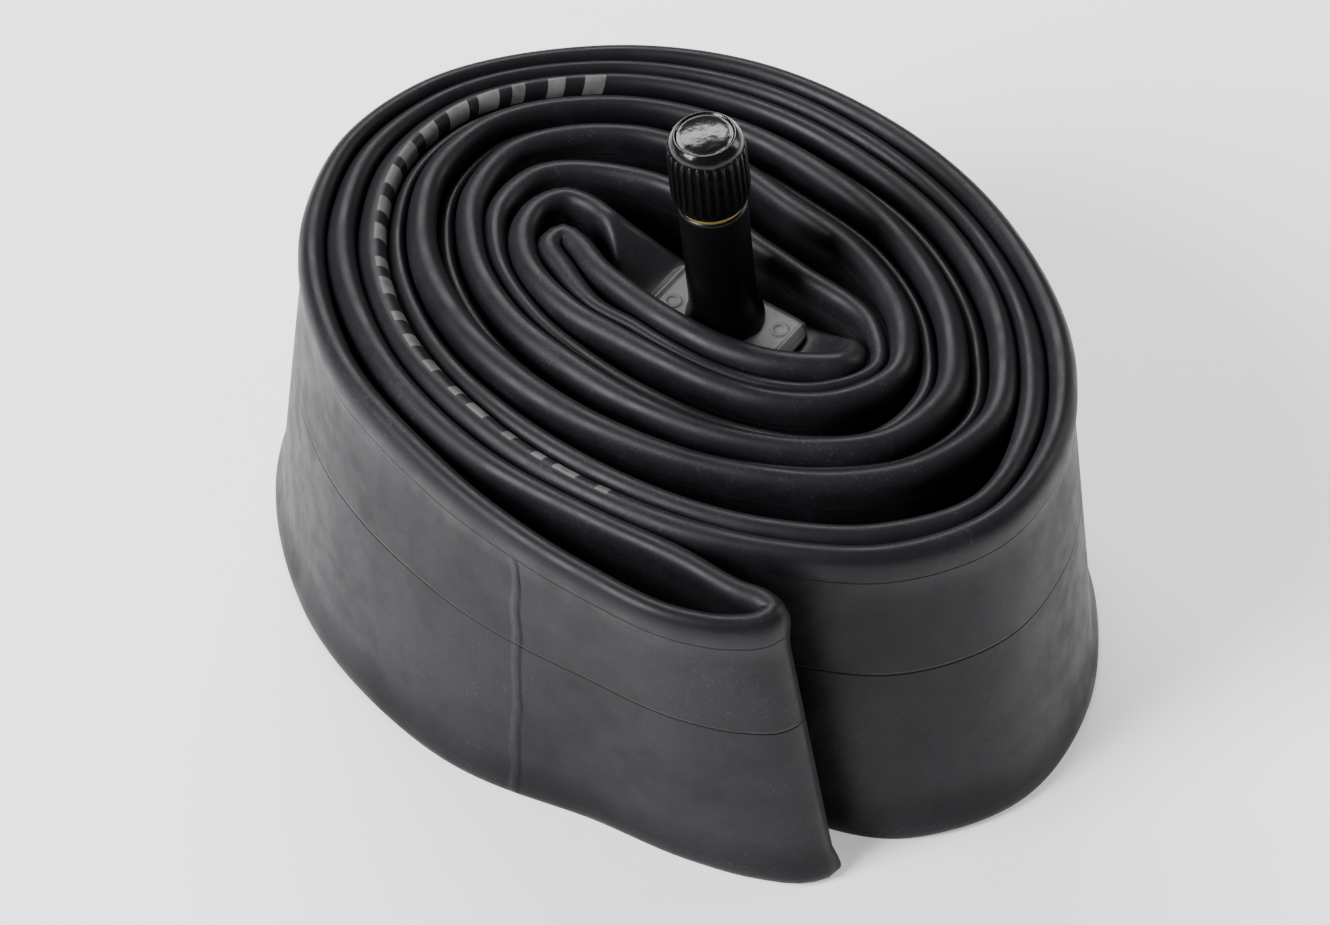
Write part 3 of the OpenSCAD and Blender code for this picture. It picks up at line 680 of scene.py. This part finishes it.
# the patch in mm, from its own middle
PATCH_HALF_LONG, PATCH_HALF_WIDE, PATCH_THICK = 9.5, 4.8, 1.2
PATCH_CORNER, PATCH_EDGE_DROP, PATCH_EDGE_REACH = 2.5, 0.55, 0.5
BEAD_AT, BEAD_HIGH, BEAD_REACH = 8.3, 0.28, 0.28
# raised circles as (X, Y, radius), with their height and how far their line reaches
PATCH_CIRCLES = ((-6.3, -2.0, 0.9), (6.6, 1.6, 0.9))
CIRCLE_HIGH, CIRCLE_REACH = 0.14, 0.16


def patch_mesh(place):
    """A low plate with a raised bead along each end and a small raised circle beside each bead."""
    half_long, half_wide, corner = PATCH_HALF_LONG, PATCH_HALF_WIDE, PATCH_CORNER
    xs = np.linspace(-half_long, half_long, 96)
    ys = np.linspace(-half_wide, half_wide, 48)
    verts, faces = [], []
    for x in xs:
        squeeze = 1.0
        edge = half_long - abs(x)
        if edge < corner:
            squeeze = (half_wide - corner + math.sqrt(max(0, corner**2 - (corner - edge) ** 2))) / half_wide
        for y in ys:
            yy = y * squeeze
            rim = min(edge, half_wide * squeeze - abs(yy))
            z = PATCH_THICK - PATCH_EDGE_DROP * math.exp(-((max(rim, 0) / PATCH_EDGE_REACH) ** 2))
            z += BEAD_HIGH * math.exp(-((abs(x) - BEAD_AT) / BEAD_REACH) ** 2)
            for cx, cy, r in PATCH_CIRCLES:
                z += CIRCLE_HIGH * math.exp(-((math.hypot(x - cx, yy - cy) - r) / CIRCLE_REACH) ** 2)
            verts.append((x * MM, yy * MM, z * MM))
    nx, ny = len(xs), len(ys)
    for i in range(nx - 1):
        for j in range(ny - 1):
            a = i * ny + j
            faces.append((a, a + ny, a + ny + 1, a + 1))
    edge_loop = ([i * ny for i in range(nx)] + [(nx - 1) * ny + j for j in range(1, ny)]
                 + [i * ny + ny - 1 for i in range(nx - 2, -1, -1)] + [j for j in range(ny - 2, 0, -1)])
    base = len(verts)
    for n in edge_loop:
        x, y, _ = verts[n]
        verts.append((x, y, 0.0))
    count = len(edge_loop)
    for n in range(count):
        m = (n + 1) % count
        faces.append((edge_loop[m], edge_loop[n], base + n, base + m))
    faces.append(tuple(base + n for n in range(count - 1, -1, -1)))
    mesh = bpy.data.meshes.new("valve_pad")
    mesh.from_pydata(verts, [], faces)
    mesh.transform(place)
    mesh.polygons.foreach_set("use_smooth", [True] * (len(mesh.polygons) - 1) + [False])
    mesh.update()
    return mesh


patch_low, patch_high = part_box("valve_patch")
patch_middle = ((patch_low.x + patch_high.x) / 2, (patch_low.y + patch_high.y) / 2, seat_z)
seat_turn = math.atan2(SEAT[2][1] - SEAT[0][1], SEAT[2][0] - SEAT[0][0])
PATCH_PLACE = Matrix.Translation(patch_middle) @ Matrix.Rotation(seat_turn, 4, "Z")
add(patch_mesh(PATCH_PLACE), BODY_OF["valve_patch"], patch_rubber(), ("valve_patch",))

# the valve's body and what is inside it keep their CAD shape
for part in frame["record"]["subparts"]:
    material = SLOT_MATERIALS.get(part["material_slot"])
    node = frame["nodes"][part["node"]]
    if material is not None:
        if not node.material_slots:
            node.data.materials.append(material)
        for s in node.material_slots:
            s.material = material

# ---- floor, light and camera -----------------------------------------------------------------
floor_material = plain("pale_floor", (0.95, 0.95, 0.95), 0.9, specular=0.05)
floor_shader = floor_material.node_tree.nodes["Principled BSDF"]
floor_shader.inputs["Emission Color"].default_value = (1, 1, 1, 1)
floor_shader.inputs["Emission Strength"].default_value = 0.42
FLOOR_HALF = 3
floor_corners = [(x * FLOOR_HALF, y * FLOOR_HALF, 0) for x, y in ((-1, -1), (1, -1), (1, 1), (-1, 1))]
floor_mesh = bpy.data.meshes.new("floor")
floor_mesh.from_pydata(floor_corners, [], [(0, 1, 2, 3)])
floor = bpy.data.objects.new("floor", floor_mesh)
floor_mesh.materials.append(floor_material)
bpy.context.scene.collection.objects.link(floor)

world = bpy.data.worlds.new("studio")
bpy.context.scene.world = world
world.use_nodes = True
background = world.node_tree.nodes["Background"]
background.inputs["Color"].default_value = (1, 1, 1, 1)
background.inputs["Strength"].default_value = 0.2


def area(name, place, look_at, size, power, colour=(1, 1, 1)):
    """A soft rectangular light that looks at a point; metres and watts."""
    light = bpy.data.lights.new(name, "AREA")
    light.shape = "RECTANGLE"
    light.size, light.size_y = size
    light.energy = power
    light.color = colour
    obj = bpy.data.objects.new(name, light)
    bpy.context.scene.collection.objects.link(obj)
    obj.location = place
    obj.rotation_mode = "QUATERNION"
    obj.rotation_quaternion = (Vector(look_at) - Vector(place)).to_track_quat("-Z", "Y")


area("key", (-0.55, -0.30, 0.50), (0, 0, 0.03), (0.3, 0.4), 14.0, (0.98, 0.97, 1.0))
area("top", (-0.12, 0.55, 0.62), (0, 0, 0.03), (0.6, 0.22), 8.0)
area("rim", (0.6, 0.2, 0.30), (0, 0, 0.04), (0.2, 0.4), 1.6)

camera_data = bpy.data.cameras.new("camera")
camera_data.lens = 112.33
camera_data.sensor_width = 36.0
camera_data.clip_start, camera_data.clip_end = 0.01, 20
camera = bpy.data.objects.new("camera", camera_data)
bpy.context.scene.collection.objects.link(camera)
# the camera stands half a metre from the roll and 50 degrees up; its place in mm is the lay's own
CAMERA_AT = (-2.2, -329.49, 407.02)
CAMERA_UP = 50
camera.location = ((CAMERA_AT[0] + shift[0]) * MM, (CAMERA_AT[1] + shift[1]) * MM, CAMERA_AT[2] * MM)
camera.rotation_euler = (math.radians(90 - CAMERA_UP), 0, 0)
bpy.context.scene.camera = camera
